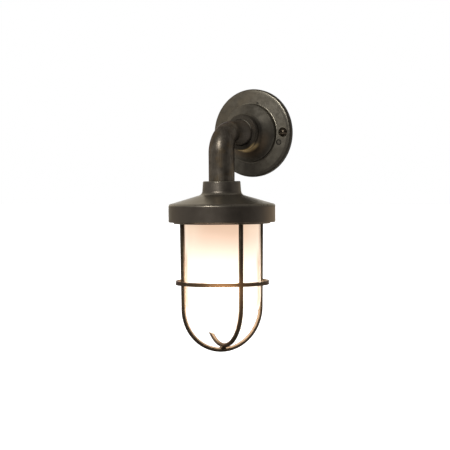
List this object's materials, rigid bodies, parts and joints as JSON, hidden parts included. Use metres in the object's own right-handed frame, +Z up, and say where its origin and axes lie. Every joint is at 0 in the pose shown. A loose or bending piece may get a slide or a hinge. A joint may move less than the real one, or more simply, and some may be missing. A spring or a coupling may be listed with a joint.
{
  "type": "well glass wall light",
  "caption": "Wall light with a round wall plate, a cast elbow, a canopy, a frosted well glass and a screwed wire guard of crossed hoops and a belt ring.",
  "frame": {"origin": "middle of the wall plate, on the wall's surface, between the two wall screws", "axes": "+Z up along the lamp axis's direction, +Y into the wall, +X to the right as seen from the room"},
  "size_m": [0.1072, 0.1286, 0.2661],
  "materials": {
    "cast_brass": "dark weathered brass",
    "guard_brass": "dark weathered brass rod",
    "screw_brass": "browned brass",
    "inner_brass": "plain brass",
    "zinc_steel": "zinc plated",
    "gasket_rubber": "matt black",
    "porcelain": "glazed porcelain",
    "lead_brown": "sleeving",
    "lead_blue": "sleeving",
    "frosted_glass": "frosted",
    "bulb_glass": "opal, lit",
    "bulb_metal": "bright"
  },
  "bodies": {
    "fixture": {"wall_plate": "cast_brass", "elbow": "cast_brass", "canopy": "cast_brass", "plate_screws": "screw_brass", "earth_stud": "screw_brass", "earth_nut": "inner_brass", "elbow_locknut": "inner_brass", "canopy_locknut": "inner_brass", "canopy_washer": "inner_brass", "lampholder_shell": "inner_brass", "centre_contact": "inner_brass", "terminal_clamp_screws": "inner_brass", "holder_bracket": "zinc_steel", "bracket_screws": "zinc_steel", "holder_screws": "zinc_steel", "block_screw": "zinc_steel", "lampholder_base": "porcelain", "terminal_block": "porcelain", "lead_live": "lead_brown", "lead_neutral": "lead_blue", "wall_gasket": "gasket_rubber", "canopy_gasket": "gasket_rubber"},
    "glass": {"well_glass": "frosted_glass", "glass_gasket": "gasket_rubber"},
    "guard": {"guard_ring": "cast_brass", "hoop_outer": "guard_brass", "hoop_inner": "guard_brass", "belt_ring": "guard_brass"},
    "bulb": {"bulb_envelope": "bulb_glass", "bulb_cap": "bulb_metal", "bulb_contact": "bulb_metal"}
  },
  "joints": [
    {"name": "glass_drop", "type": "slide", "parent": "fixture", "child": "glass", "axis": [0, 0, -1], "range_m": [0, 0.009]},
    {"name": "guard_turn", "type": "hinge", "parent": "glass", "child": "guard", "pos_m": [0, -0.067, -0.09], "axis": [0, 0, -1], "range_deg": [0, 1620]},
    {"name": "bulb_draw", "type": "slide", "parent": "fixture", "child": "bulb", "axis": [0, 0, -1], "range_m": [0, 0.0145]}
  ],
  "couplings": [
    {"joint": "glass_drop", "follows": "guard_turn", "m_per_rad": 0.00031831}
  ]
}
